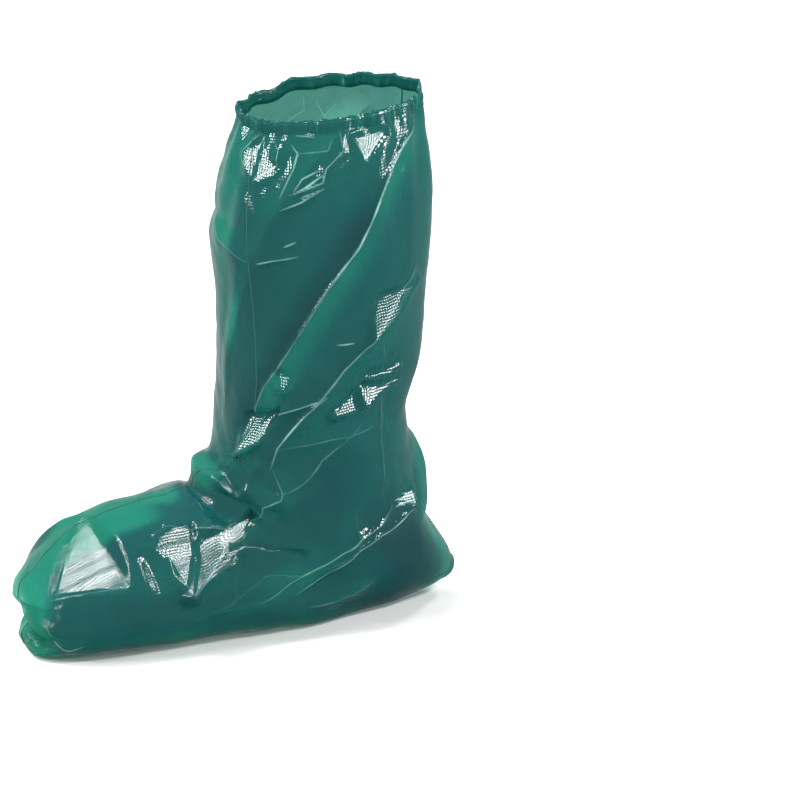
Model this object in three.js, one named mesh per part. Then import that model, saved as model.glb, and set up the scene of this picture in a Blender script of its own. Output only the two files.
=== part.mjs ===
// Disposable leg cover of thin translucent film, in the form that it has when it is worn.
// Two boot-shaped film panels meet along one welded outline, which runs down the front, over the toe,
// under the sole and up the back. The top edge is folded into a gathered hem that holds an elastic cord.
// The worn form is a tube of sections: down the calf, fanned out round the heel, and on to the toe.
// Units are millimetres and +Z is up. The toe points to -Y, and +X is the side with the weld in view.
// The origin is the middle of the leg opening, at the top of the panels.
import * as THREE from "three";

// Driving dimensions
const WALL = 1.0; // film wall, drawn thicker than the real film
const SEAM_GAP = 0.4; // between the two panels, under the weld
const PANEL_COLUMNS = 26; // facets round each panel
const FLOOR_SOFTNESS = 4.0; // how gently the film turns from the sole to the sides
const GATHER_COUNT = 14; // main gathers round the leg opening
const GATHER_DEPTH = 2.6; // how far each gather stands out at the hem
const GATHER_REACH = 1.2; // how far the gathers run down, in sections
const GATHER_SWAY = { radians: 1.1, waves: 3 }; // how the gathers wander from even spacing, round the opening
const SOLE_TUCK = 2.4; // how far the sole weld is drawn up into the sole
const TUCK_ANGLE = 7; // degrees from the sole weld to where the tuck ends
const TUCK_RISE = { from: -0.3, to: 0.1 }; // where the tuck begins, in sections from the heel
const WELD_WIDTH = 1.2;
const WELD_HEIGHT = 1.6;
const WELD_LIFT = 0.5; // from the panels to the underside of the weld
const HEM_LIFT = 0.3; // from the panels' top edge to the hem
const ELASTIC_RADIUS = 0.9;
const ELASTIC_SIDES = 6;
const ELASTIC_PLACE = { out: -2.0, up: 7.3 }; // in the hem's casing, under its top bend

// Sections of the worn form, in order along the cover, each a squared oval in a plane of its own.
// steps: facet rows to the next section; turn: degrees that the plane is turned from level;
// seam: degrees from the front to the front weld; y, z: the plane's middle, above the floor;
// front, back: reach from the middle; frontSquare, backSquare: 2 is an oval, more is squarer.
const SECTIONS = table(
  ["name", "steps", "turn", "seam", "y", "z", "halfWidth", "front", "back", "frontSquare", "backSquare"],
  [
    ["hem_line", 2, -5, 20, 17, 400, 57, 69, 70, 2.1, 2.1],
    ["calf_top", 3, -3, 25, 13, 366, 66, 75, 77, 2.2, 2.1],
    ["calf", 2, -1, 33, 9, 316, 72, 84, 84, 2.2, 2.1],
    ["mid", 2, 0, 34, 6, 260, 71, 76.5, 83, 2.2, 2.1],
    ["shin", 2, 0, 38, 4, 206, 69, 76, 79, 2.2, 2.1],
    ["low_shin", 3, 0, 34, 0, 165, 67, 74, 73, 2.2, 2.1],
    ["ankle_a", 2, 6, 22, 1, 128, 65, 79, 78, 2.1, 2.1],
    ["ankle_b", 4, 16, 8, -1, 101, 62, 92, 90, 2.1, 2.0],
    ["heel", 3, 27, 0, 6, 70, 60, 112, 111, 2.1, 2.7],
    ["arch_a", 2, 43, 0, -35, 54, 56, 85, 92, 2.1, 2.2],
    ["arch_b", 2, 58, 0, -68, 55, 62, 68, 72, 2.1, 2.8],
    ["instep", 2, 75, 0, -102, 52, 63, 58, 58, 2.1, 2.8],
    ["ball_a", 2, 90, 0, -130, 48, 65, 59, 52, 2.0, 2.8],
    ["ball_b", 2, 90, 0, -160, 44, 66, 57, 48, 2.0, 2.8],
    ["toe_a", 2, 90, 0, -190, 40, 63, 50, 43, 1.85, 2.8],
    ["toe_b", 1, 90, 0, -213, 34, 54, 38, 37, 1.85, 2.6],
    ["toe_c", 1, 89, 0, -224, 29, 44, 31, 31, 2.0, 3.2],
    ["toe_d", 2, 87, 0, -232, 26, 30, 23, 27, 2.0, 3.2],
    ["toe_tip", 0, 87, 0, -235, 25, 0, 0, 0, 2.0, 2.0],
  ],
);
const SECTION = Object.fromEntries(SECTIONS.map((section, index) => [section.name, index]));

// Folds of the film, each a line over the surface.
// kind: ridge and valley fall off alike on both sides, a pleat has a steep and a gentle side;
// open: 1 where the end keeps its full height; height, width: size of the fold;
// path: places on the line, each a section number, with parts between sections, and degrees round the section
// from the front towards +X.
const FOLDS = table(
  ["name", "kind", "open", "height", "width", "path"],
  [
    ["calf_pleat", "pleat", 0, 8, 14,
      [[0.1, 142], [0.57, 123], [1.18, 108], [2.06, 93], [3.17, 66], [4.09, 43], [4.76, 35], [6.0, 26]]],
    ["ankle_pleat", "pleat", 0, 7, 12,
      [[2.5, 134], [3.04, 117], [3.71, 91], [4.63, 68], [5.25, 55], [5.9, 50]]],
    ["instep_fold", "ridge", 0, 5, 12,
      [[5.8, 52], [6.56, 62], [6.87, 63], [7.44, 53], [9.45, 53], [12.0, 33]]],
    ["instep_tab", "ridge", 0, 4, 9, [[7.05, -50], [7.05, 50]]],
    ["heel_fold", "ridge", 0, 7, 14,
      [[6.4, 134], [7.0, 122], [7.49, 108], [7.88, 96], [8.54, 93], [9.32, 94], [10.24, 99], [11.1, 107]]],
    ["low_heel_fold", "ridge", 0, 4, 11, [[9.4, 115], [8.85, 118], [8.4, 119]]],
    ["foot_vee_front", "ridge", 0, 4, 11, [[12.25, 41], [11.53, 89]]],
    ["foot_vee_back", "ridge", 0, 4, 11, [[11.53, 89], [10.73, 78], [9.7, 61]]],
    ["toe_fold", "ridge", 0, 4, 11, [[13.6, 0], [14.67, 31], [15.47, 56]]],
    ["toe_fold_low", "ridge", 0, 3, 10, [[15.47, 56], [13.15, 69]]],
    ["toe_notch_near", "valley", 1, 16, 9, [[15.1, 106], [18.0, 98]]],
    ["toe_notch_far", "valley", 1, 15, 15, [[15.1, 246], [18.0, 256]]],
    ["heel_corner", "ridge", 1, 13, 8, [[7.84, 180], [8.0, 180]]],
    ["back_flare", "ridge", 0, 9, 12, [[5.9, 172], [7.0, 162]]],
    ["front_dip", "valley", 0, 7, 15, [[1.8, -75], [1.8, 30]]],
    ["far_calf_pleat", "pleat", 0, 7, 13, [[0.5, 228], [1.8, 263], [3.05, 291], [4.3, 308], [5.6, 318]]],
    ["far_ankle_fold", "ridge", 0, 4, 12, [[4.6, 236], [5.7, 279], [6.8, 306]]],
    ["far_heel_fold", "ridge", 0, 5, 13, [[6.3, 226], [7.5, 260], [8.6, 270], [9.7, 264], [10.8, 246]]],
    ["far_instep_fold", "ridge", 0, 4, 12, [[6.8, 300], [9.2, 307], [11.6, 330]]],
    ["far_foot_fold", "ridge", 0, 4, 11, [[12.0, 322], [11.2, 268]]],
    ["far_toe_fold", "ridge", 0, 4, 11, [[13.6, 344], [15.2, 304]]],
  ],
);
const FOLD_SAMPLES = 24; // straight pieces that each fold line is cut into
const PLEAT_STEEP_SHARE = 0.35; // of the fold's width, on the pleat's steep side
const PLEAT_GENTLE_SHARE = 1.8; // and on its gentle side
const FOLD_FALL = 1.3; // power of the fall from a fold's line to its edge: 1 is straight, more is hollow
const FOLD_END_FALL = 0.6; // power of the fall towards a fold's ends: less keeps the height longer

// Outline of the hem, walked round once: out from the panels' outer face, and up from their top edge
const HEM_PROFILE = table(
  ["out", "up"],
  [
    [0.0, 0.0], [0.8, 2.7], [0.5, 6.8], [-1.2, 9.4], [-2.8, 9.4], [-4.6, 6.8], [-4.8, 3.2], [-3.0, 0.0],
    [-2.0, 0.0], [-3.7, 3.5], [-3.6, 6.3], [-2.6, 8.3], [-1.4, 8.3], [-0.5, 6.3], [-0.3, 2.9], [-1.0, 0.0],
  ],
);

// Materials
const film = new THREE.MeshStandardMaterial({ color: "#2f8f7a", roughness: 0.25, metalness: 0 });
const weldFilm = new THREE.MeshStandardMaterial({ color: "#236f63", roughness: 0.3, metalness: 0 });
const hemFilm = new THREE.MeshStandardMaterial({ color: "#257167", roughness: 0.3, metalness: 0 });
const elastic = new THREE.MeshStandardMaterial({ color: "#e4efe9", roughness: 0.6, metalness: 0 });

/** Turns rows of values into objects with the named columns. */
function table(columns, rows) {
  return rows.map((row) => Object.fromEntries(columns.map((column, index) => [column, row[index]])));
}

/** Value of one column at a place along the sections, on a smooth curve through the rows. */
function along(column, place) {
  const last = SECTIONS.length - 1;
  const index = Math.min(Math.floor(place), last - 1);
  const part = place - index;
  const start = SECTIONS[index][column];
  const end = SECTIONS[index + 1][column];
  const before = index > 0 ? SECTIONS[index - 1][column] : 2 * start - end;
  const after = index + 2 <= last ? SECTIONS[index + 2][column] : 2 * end - start;
  const slope = end - before;
  const bend = 2 * before - 5 * start + 4 * end - after;
  const twist = 3 * start - before - 3 * end + after;
  return start + 0.5 * part * (slope + part * (bend + part * twist));
}

/** Keeps a height above the floor, with a gentle turn. */
function aboveFloor(height) {
  return 0.5 * (height + Math.hypot(height, FLOOR_SOFTNESS));
}

/** Point of the smooth form at a place along the sections and an angle in degrees from the front. */
function formPoint(place, angle) {
  const turn = THREE.MathUtils.degToRad(along("turn", place));
  const radians = THREE.MathUtils.degToRad(angle);
  const forward = Math.cos(radians);
  const sideways = Math.sin(radians);
  const square = 2 / along(forward > 0 ? "frontSquare" : "backSquare", place);
  const reach = along(forward > 0 ? "front" : "back", place);
  const ahead = Math.sign(forward) * Math.abs(forward) ** square * reach;
  const across = Math.sign(sideways) * Math.abs(sideways) ** square * along("halfWidth", place);
  const y = along("y", place) - ahead * Math.cos(turn);
  const z = along("z", place) + ahead * Math.sin(turn);
  return new THREE.Vector3(across, y, aboveFloor(z));
}

/** Outward normal of a surface that is given as a function of place and angle. */
function normalOf(surface, place, angle) {
  const stepPlace = 0.08;
  const stepAngle = 3;
  const last = SECTIONS.length - 1;
  if (place > last - stepPlace) {
    return new THREE.Vector3(0, -1, 0);
  }
  const down = surface(place + stepPlace, angle).sub(surface(Math.max(place - stepPlace, 0), angle));
  const round = surface(place, angle + stepAngle).sub(surface(place, angle - stepAngle));
  return round.cross(down).negate().normalize();
}

/** Places along a fold, as points on the smooth form. */
function foldLine(fold) {
  const stretches = fold.path.length - 1;
  const points = [];
  for (let sample = 0; sample <= FOLD_SAMPLES; sample += 1) {
    const spot = (stretches * sample) / FOLD_SAMPLES;
    const stretch = Math.min(Math.floor(spot), stretches - 1);
    const [fromPlace, fromAngle] = fold.path[stretch];
    const [toPlace, toAngle] = fold.path[stretch + 1];
    const part = spot - stretch;
    const place = THREE.MathUtils.lerp(fromPlace, toPlace, part);
    points.push(formPoint(place, THREE.MathUtils.lerp(fromAngle, toAngle, part)));
  }
  return points;
}
const foldLines = FOLDS.map(foldLine);

/** Height that one fold adds at a point with a normal. */
function foldHeight(fold, line, point, normal) {
  const nearest = { distance: Infinity, part: 0, side: 0 };
  const segment = new THREE.Line3();
  const foot = new THREE.Vector3();
  for (let index = 0; index < FOLD_SAMPLES; index += 1) {
    segment.set(line[index], line[index + 1]);
    const part = segment.closestPointToPointParameter(point, true);
    const distance = segment.at(part, foot).distanceTo(point);
    if (distance < nearest.distance) {
      const leftward = normal.clone().cross(segment.delta(new THREE.Vector3()));
      nearest.distance = distance;
      nearest.part = (index + part) / FOLD_SAMPLES;
      nearest.side = Math.sign(foot.subVectors(point, foot).dot(leftward));
    }
  }
  const pleatShare = nearest.side < 0 ? PLEAT_STEEP_SHARE : PLEAT_GENTLE_SHARE;
  const width = fold.kind === "pleat" ? fold.width * pleatShare : fold.width;
  const fade = Math.max(0, 1 - nearest.distance / width) ** FOLD_FALL;
  const ends = fold.open ? Math.sin(0.5 * Math.PI * nearest.part) : Math.sin(Math.PI * nearest.part);
  return (fold.kind === "valley" ? -1 : 1) * fold.height * fade * Math.max(0, ends) ** FOLD_END_FALL;
}

/** Height of the gathers that the elastic draws in below the hem. */
function gatherHeight(place, angle) {
  const radians = THREE.MathUtils.degToRad(angle);
  const sway = GATHER_SWAY.radians * Math.sin(GATHER_SWAY.waves * radians);
  const wave = Math.cos(GATHER_COUNT * radians + sway);
  return GATHER_DEPTH * Math.exp(-place / GATHER_REACH) * wave;
}

/** How far the sole is drawn up beside its weld. */
function tuckHeight(place, angle) {
  const heel = SECTION.heel;
  const onSole = THREE.MathUtils.smoothstep(place, heel + TUCK_RISE.from, heel + TUCK_RISE.to)
    * (1 - THREE.MathUtils.smoothstep(place, SECTION.toe_c, SECTION.toe_d));
  const besideWeld = Math.max(0, 1 - Math.abs(angle - 180) / TUCK_ANGLE);
  return -SOLE_TUCK * onSole * besideWeld;
}

/** Point of the folded film, on its outer face. */
function filmPoint(place, angle) {
  const point = formPoint(place, angle);
  const normal = normalOf(formPoint, place, angle);
  const wrapped = THREE.MathUtils.euclideanModulo(angle, 360);
  let height = gatherHeight(place, angle) + tuckHeight(place, wrapped);
  FOLDS.forEach((fold, index) => {
    height += foldHeight(fold, foldLines[index], point, normal);
  });
  point.addScaledVector(normal, height);
  point.z = Math.max(point.z, 0);
  return point;
}

/** Angle from the front of a place on a panel, measured in degrees from the front weld. */
function fromWeld(place, angle) {
  return along("seam", place) + angle;
}

/** Rows of places along the cover, from the hem line to the toe. */
function facetRows() {
  const rows = [];
  SECTIONS.forEach((section, index) => {
    for (let step = 0; step < section.steps; step += 1) {
      rows.push(index + step / section.steps);
    }
  });
  return [...rows, SECTIONS.length - 1];
}
const ROWS = facetRows();

/** Closed geometry from its corner points and its triangles, without the triangles that have no area. */
function solid(points, triangles) {
  const geometry = new THREE.BufferGeometry();
  const kept = triangles.filter(([a, b, c]) => a !== b && b !== c && c !== a);
  geometry.setAttribute("position", new THREE.Float32BufferAttribute(points.flatMap((p) => p.toArray()), 3));
  geometry.setIndex(kept.flat());
  geometry.computeVertexNormals();
  return geometry;
}

/**
 * Panel from the front weld, at startAngle, half way round to the back weld, closed to a point at the toe.
 * Its facets are split along the way that its long pleat runs: towards the front going down, or the back.
 */
function panelGeometry(startAngle, shift, pleatGoesForward) {
  const lastRow = ROWS.length - 1;
  const points = [];
  ROWS.forEach((place, row) => {
    const columns = row === lastRow ? 0 : PANEL_COLUMNS;
    for (let column = 0; column <= columns; column += 1) {
      const angle = fromWeld(place, startAngle + (180 * column) / PANEL_COLUMNS);
      const outer = filmPoint(place, angle);
      const inner = outer.clone().addScaledVector(normalOf(filmPoint, place, angle), -WALL);
      outer.x += shift;
      inner.x += shift;
      points.push(outer, inner);
    }
  });
  const outerAt = (row, column) => 2 * (row * (PANEL_COLUMNS + 1) + (row === lastRow ? 0 : column));
  const innerAt = (row, column) => outerAt(row, column) + 1;
  const triangles = [];
  const quad = (a, b, c, d) => triangles.push([a, b, c], [a, c, d]);
  const face = pleatGoesForward ? (a, b, c, d) => quad(b, c, d, a) : quad;
  for (let row = 0; row < lastRow; row += 1) {
    for (let column = 0; column < PANEL_COLUMNS; column += 1) {
      const next = column + 1;
      face(outerAt(row, column), outerAt(row + 1, column), outerAt(row + 1, next), outerAt(row, next));
      face(innerAt(row, next), innerAt(row + 1, next), innerAt(row + 1, column), innerAt(row, column));
    }
    const end = PANEL_COLUMNS;
    quad(outerAt(row, 0), innerAt(row, 0), innerAt(row + 1, 0), outerAt(row + 1, 0));
    quad(outerAt(row, end), outerAt(row + 1, end), innerAt(row + 1, end), innerAt(row, end));
  }
  for (let column = 0; column < PANEL_COLUMNS; column += 1) {
    const next = column + 1;
    quad(outerAt(0, column), outerAt(0, next), innerAt(0, next), innerAt(0, column));
  }
  return solid(points, triangles);
}

/** Solid through a list of loops with as many points each, joined to a ring or capped at both ends. */
function loftGeometry(loops, ring) {
  const size = loops[0].length;
  const points = loops.flat();
  const triangles = [];
  const at = (loop, corner) => (loop % loops.length) * size + (corner % size);
  const pairs = ring ? loops.length : loops.length - 1;
  for (let loop = 0; loop < pairs; loop += 1) {
    for (let corner = 0; corner < size; corner += 1) {
      const a = at(loop, corner);
      const b = at(loop + 1, corner);
      const c = at(loop + 1, corner + 1);
      const d = at(loop, corner + 1);
      triangles.push([a, b, c], [a, c, d]);
    }
  }
  for (let corner = 1; corner < size - 1 && !ring; corner += 1) {
    triangles.push([at(0, 0), at(0, corner), at(0, corner + 1)]);
    triangles.push([at(loops.length - 1, 0), at(loops.length - 1, corner + 1), at(loops.length - 1, corner)]);
  }
  return solid(points, triangles);
}

/** Weld that stands on the film along one edge of the panels, between two places. */
function weldGeometry(edgeAngle, from, to) {
  const stepPlace = 0.1;
  const places = [from, ...ROWS.filter((place) => place > from && place < to), to];
  const loops = places.map((place) => {
    const angle = fromWeld(place, edgeAngle);
    const point = filmPoint(place, angle);
    const normal = normalOf(filmPoint, place, angle);
    const earlier = Math.max(place - stepPlace, 0);
    const later = place + stepPlace;
    const before = filmPoint(earlier, fromWeld(earlier, edgeAngle));
    const tangent = filmPoint(later, fromWeld(later, edgeAngle)).sub(before).normalize();
    const across = tangent.cross(normal).normalize();
    const corners = [[-0.5, 0], [0.5, 0], [0.5, 1], [-0.5, 1]];
    return corners.map(([side, top]) => point.clone()
      .addScaledVector(across, side * WELD_WIDTH)
      .addScaledVector(normal, WELD_LIFT + top * WELD_HEIGHT));
  });
  return loftGeometry(loops, false);
}

/** Frames round the leg opening: a point on the panels' top edge, and the directions out and up. */
function openingFrames() {
  const turn = THREE.MathUtils.degToRad(SECTIONS[0].turn);
  const up = new THREE.Vector3(0, Math.sin(turn), Math.cos(turn));
  const frames = [];
  for (let column = 0; column < 2 * PANEL_COLUMNS; column += 1) {
    const angle = fromWeld(0, (180 * column) / PANEL_COLUMNS);
    const out = normalOf(formPoint, 0, angle);
    out.addScaledVector(up, -out.dot(up)).normalize();
    frames.push({ point: filmPoint(0, angle), out, up });
  }
  return frames;
}

/** Point that is out and up from the panels' top edge. */
function fromEdge(frame, out, up) {
  return frame.point.clone().addScaledVector(frame.out, out).addScaledVector(frame.up, up);
}

/** Hem: the casing's outline carried round the leg opening, a little above the panels. */
function hemGeometry() {
  const loops = openingFrames().map((frame) =>
    HEM_PROFILE.map((corner) => fromEdge(frame, corner.out, corner.up + HEM_LIFT)));
  return loftGeometry(loops, true);
}

/** Elastic: a thin round ring under the hem's top bend. */
function elasticGeometry() {
  const loops = openingFrames().map((frame) => Array.from({ length: ELASTIC_SIDES }, (_, side) => {
    const angle = (2 * Math.PI * side) / ELASTIC_SIDES;
    const out = ELASTIC_PLACE.out - ELASTIC_RADIUS * Math.sin(angle);
    return fromEdge(frame, out, ELASTIC_PLACE.up + ELASTIC_RADIUS * Math.cos(angle));
  }));
  return loftGeometry(loops, true);
}

// The cover, moved from the floor to its origin in the leg opening
const cover = new THREE.Group();
cover.position.set(0, -SECTIONS[0].y, -SECTIONS[0].z);
const heelCorner = SECTION.heel;
const nearToe = SECTION.toe_tip - 0.3;
const belowHem = 0.02;
const weldEnd = 0.005; // half the gap where two welds meet at the heel, in sections
const pieces = [
  ["left_panel", panelGeometry(0, SEAM_GAP / 2, true), film],
  ["right_panel", panelGeometry(180, -SEAM_GAP / 2, false), film],
  ["front_weld", weldGeometry(0, belowHem, nearToe), weldFilm],
  ["back_weld", weldGeometry(180, belowHem, heelCorner - weldEnd), weldFilm],
  ["sole_weld", weldGeometry(180, heelCorner + weldEnd, nearToe), weldFilm],
  ["top_hem", hemGeometry(), hemFilm],
  ["elastic_cord", elasticGeometry(), elastic],
];
for (const [name, geometry, material] of pieces) {
  const mesh = new THREE.Mesh(geometry, material);
  mesh.name = name;
  cover.add(mesh);
}
const part = new THREE.Group();
part.add(cover);

export default part;
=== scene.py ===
# %% [markdown]
# # A disposable leg cover of thin film
# The cover is a bag: two boot-shaped sheets of green polyethylene film, welded together along their
# outline, with the top edge folded over an elastic. Worn, it is a hollow tube of film that hangs in
# pleats, gathers and sharp creases. This script dresses the packed model with that film, one piece at a
# time.

# %% Load the frame
import math
import bpy
import numpy as np
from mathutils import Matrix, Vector


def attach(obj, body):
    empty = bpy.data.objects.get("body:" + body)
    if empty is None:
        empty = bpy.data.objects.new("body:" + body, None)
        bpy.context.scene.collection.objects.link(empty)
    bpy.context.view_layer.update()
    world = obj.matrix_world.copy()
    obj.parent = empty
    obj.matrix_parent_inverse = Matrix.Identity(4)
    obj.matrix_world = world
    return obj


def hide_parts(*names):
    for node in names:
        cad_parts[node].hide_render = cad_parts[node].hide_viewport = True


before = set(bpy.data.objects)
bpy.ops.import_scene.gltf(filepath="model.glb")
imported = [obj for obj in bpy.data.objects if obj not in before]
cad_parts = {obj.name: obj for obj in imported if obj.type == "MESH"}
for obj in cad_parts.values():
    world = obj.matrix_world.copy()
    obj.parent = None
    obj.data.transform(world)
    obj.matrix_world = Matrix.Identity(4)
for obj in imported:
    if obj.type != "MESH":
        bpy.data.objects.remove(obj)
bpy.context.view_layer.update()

# %% [markdown]
# ## The worn form
# A worn cover has no simple outline, but it can be read as a tube. Its sections go down the calf, turn
# like a fan round the heel and run on to the toe. Sculpting by hand would work too; a table of sections
# is easier to correct, because each row is one place that can be measured. The sizes are millimetres
# above the floor, with the toe towards -Y. They are the sections of the solids, with the heel drawn out
# to a flatter corner.

# %% Sections of the tube
MM = 0.001
ORIGIN = np.array([0.0, 17.0, 400.0])  # middle of the leg opening, above the floor
SECTION_COLUMNS = ("name", "turn", "seam", "y", "z", "half_width", "front", "back", "front_sq", "back_sq")
SECTIONS = [
    ("hem_line", -5, 20, 17, 400, 57, 69, 70, 2.1, 2.1),
    ("calf_top", -3, 25, 13, 366, 66, 75, 77, 2.2, 2.1),
    ("calf", -1, 33, 9, 316, 72, 84, 84, 2.2, 2.1),
    ("mid", 0, 34, 6, 260, 71, 76.5, 83, 2.2, 2.1),
    ("shin", 0, 38, 4, 206, 69, 76, 79, 2.2, 2.1),
    ("low_shin", 0, 34, 0, 165, 67, 74, 73, 2.2, 2.1),
    ("ankle_a", 6, 22, 1, 128, 65, 79, 78, 2.1, 2.1),
    ("ankle_b", 16, 8, -1, 101, 62, 92, 92, 2.1, 1.9),
    ("heel", 27, 0, 6, 70, 60, 112, 117, 2.1, 1.7),
    ("arch_a", 43, 0, -35, 54, 56, 85, 94, 2.1, 2.0),
    ("arch_b", 58, 0, -68, 55, 62, 68, 72, 2.1, 2.8),
    ("instep", 75, 0, -102, 52, 63, 58, 58, 2.1, 2.8),
    ("ball_a", 90, 0, -130, 48, 65, 59, 52, 2.0, 2.8),
    ("ball_b", 90, 0, -160, 44, 66, 57, 48, 2.0, 2.8),
    ("toe_a", 90, 0, -190, 40, 63, 50, 43, 1.85, 2.8),
    ("toe_b", 90, 0, -213, 34, 54, 38, 37, 1.85, 2.6),
    ("toe_c", 89, 0, -224, 29, 44, 31, 31, 2.0, 3.2),
    ("toe_d", 87, 0, -232, 26, 30, 23, 27, 2.0, 3.2),
    ("toe_tip", 87, 0, -235, 25, 0, 0, 0, 2.0, 2.0),
]
LAST = len(SECTIONS) - 1
PLACE = {row[0]: index for index, row in enumerate(SECTIONS)}
COLUMN = {name: np.array([row[index] for row in SECTIONS], float)
          for index, name in enumerate(SECTION_COLUMNS) if name != "name"}
print("sections:", len(SECTIONS), "height of the hem line in mm:", COLUMN["z"][0])

# %% [markdown]
# ## From sections to a surface
# Any point of the tube has two numbers: its place along the sections, and its angle round the tube from
# the front towards +X. A smooth curve runs through each column of the table, and a rounded oval is
# drawn in each section. A loft tool would join the sections too, but a function gives a point anywhere,
# which folds need.

# %% The smooth form
FLOOR_SOFTNESS = 4.0  # how softly the film flattens on the floor
TINY = 1e-9
END_GAP = 0.001  # keeps a step inside the last section


def along(column, place):
    """Value of a column at a place along the sections, on a smooth curve through the rows."""
    values = COLUMN[column]
    index = np.clip(np.floor(place).astype(int), 0, LAST - 1)
    part = place - index
    start, end = values[index], values[index + 1]
    before = np.where(index > 0, values[np.maximum(index - 1, 0)], 2 * start - end)
    after = np.where(index + 2 <= LAST, values[np.minimum(index + 2, LAST)], 2 * end - start)
    bend = 2 * before - 5 * start + 4 * end - after
    twist = 3 * start - before - 3 * end + after
    return start + 0.5 * part * ((end - before) + part * (bend + part * twist))


def smooth_step(value, low, high):
    """0 below low, 1 above high and an eased rise between."""
    part = np.clip((value - low) / (high - low), 0, 1)
    return part * part * (3 - 2 * part)


def form_point(place, angle):
    """Points of the smooth form; angle is in degrees from the front towards +X."""
    place, angle = np.broadcast_arrays(np.asarray(place, float), np.asarray(angle, float))
    turn = np.radians(along("turn", place))
    forward, sideways = np.cos(np.radians(angle)), np.sin(np.radians(angle))
    ahead_side = forward > 0
    square = 2 / np.where(ahead_side, along("front_sq", place), along("back_sq", place))
    reach = np.where(ahead_side, along("front", place), along("back", place))
    ahead = np.sign(forward) * np.abs(forward) ** square * reach
    across = np.sign(sideways) * np.abs(sideways) ** square * along("half_width", place)
    y = along("y", place) - ahead * np.cos(turn)
    z = along("z", place) + ahead * np.sin(turn)
    return np.stack([across, y, 0.5 * (z + np.hypot(z, FLOOR_SOFTNESS))], -1)


def normal_of(surface, place, angle, step_place=0.08, step_angle=3.0):
    """Outward normals of a surface that is given as a function of place and angle."""
    place, angle = np.broadcast_arrays(np.asarray(place, float), np.asarray(angle, float))
    low = np.maximum(place - step_place, 0)
    high = np.minimum(place + step_place, LAST - END_GAP)
    down = surface(high, angle) - surface(low, angle)
    around = surface(place, angle + step_angle) - surface(place, angle - step_angle)
    normal = np.cross(down, around)
    size = np.linalg.norm(normal, axis=-1, keepdims=True)
    forward = np.array([0.0, -1.0, 0.0])
    at_tip = (place > LAST - step_place)[..., None]
    return np.where(at_tip | (size < TINY), forward, normal / np.maximum(size, TINY))


heel_back = form_point(PLACE["heel"], 180.0)
print("back of the heel in mm above the floor:", heel_back.round(1))

# %% [markdown]
# ## Folds of the film
# Film does not stretch, so where there is too much of it, it stands up in lines. A long pleat crosses
# the calf from the back to the instep, a second one follows it, and shorter folds lie over the instep,
# heel and toe. Each fold is one row: a line over the form through places and angles, with a height and
# a width. A ridge falls off alike on both sides; a pleat is steep on one side, as where one layer lies
# over another. A cloth simulation would invent its own folds; rows put each one where the real cover
# has it.

# %% Table of folds
FOLD_COLUMNS = ("name", "kind", "open", "height", "width", "line", "band", "path")
# band: painted back-light beside a pleat, with a painted shadow on its steep side
FOLDS = [
    ("calf_pleat", "pleat", 0, 3.2, 14, 0.30, 0.34, [
        (0.1, 142), (0.57, 123), (1.18, 108), (2.06, 93), (3.17, 66), (4.09, 43), (4.76, 35), (6.0, 26)]),
    ("ankle_pleat", "pleat", 0, 3.0, 12, 0.45, 0.12, [
        (2.5, 134), (3.04, 117), (3.71, 91), (4.63, 68), (5.25, 55), (5.9, 50)]),
    ("instep_fold", "ridge", 0, 5, 12, 0.35, 0, [
        (5.8, 52), (6.56, 62), (6.87, 63), (7.44, 53), (9.45, 53), (12.0, 33)]),
    ("instep_tab", "ridge", 0, 4, 9, 0.0, 0, [(7.05, -50), (7.05, 50)]),
    ("heel_fold", "ridge", 0, 2.0, 15, 0.0, 0, [
        (6.4, 134), (7.0, 122), (7.49, 108), (7.88, 96), (8.54, 93), (9.32, 94), (10.24, 99), (11.1, 107)]),
    ("low_heel_fold", "ridge", 0, 4, 11, 0.3, 0, [(9.4, 115), (8.85, 118), (8.4, 119)]),
    ("foot_vee_front", "ridge", 0, 4, 11, 0.4, 0, [(12.25, 41), (11.53, 89)]),
    ("foot_vee_back", "ridge", 0, 4, 11, 0.4, 0, [(11.53, 89), (10.73, 78), (9.7, 61)]),
    ("toe_fold", "ridge", 0, 4, 11, 0.25, 0, [(13.6, 0), (14.67, 31), (15.47, 56)]),
    ("toe_fold_low", "ridge", 0, 3, 10, 0.3, 0, [(15.47, 56), (13.15, 69)]),
    ("toe_notch_near", "valley", 1, 16, 9, 0.0, 0, [(15.1, 106), (18.0, 98)]),
    ("toe_notch_far", "valley", 1, 15, 15, 0.0, 0, [(15.1, 246), (18.0, 256)]),
    ("heel_corner", "ridge", 1, 5, 14, 0.0, 0, [(7.8, 180), (8.0, 180)]),
    ("back_flare", "ridge", 0, 8, 19, 0.0, 0, [(5.5, 172), (7.1, 162)]),
    ("front_dip", "valley", 0, 4.5, 20, 0.0, 0, [(1.8, -75), (1.8, 30)]),
    ("far_calf_pleat", "pleat", 0, 7, 13, 0.6, 0.34, [
        (0.5, 228), (1.8, 263), (3.05, 291), (4.3, 308), (5.6, 318)]),
    ("far_ankle_fold", "ridge", 0, 4, 12, 0.3, 0, [(4.6, 236), (5.7, 279), (6.8, 306)]),
    ("far_heel_fold", "ridge", 0, 5, 13, 0.4, 0, [
        (6.3, 226), (7.5, 260), (8.6, 270), (9.7, 264), (10.8, 246)]),
    ("far_instep_fold", "ridge", 0, 4, 12, 0.3, 0, [(6.8, 300), (9.2, 307), (11.6, 330)]),
    ("far_foot_fold", "ridge", 0, 4, 11, 0.2, 0, [(12.0, 322), (11.2, 268)]),
    ("far_toe_fold", "ridge", 0, 4, 11, 0.2, 0, [(13.6, 344), (15.2, 304)]),
]
print("folds:", len(FOLDS), "longest:", max(FOLDS, key=lambda row: len(row[-1]))[0])
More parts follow.
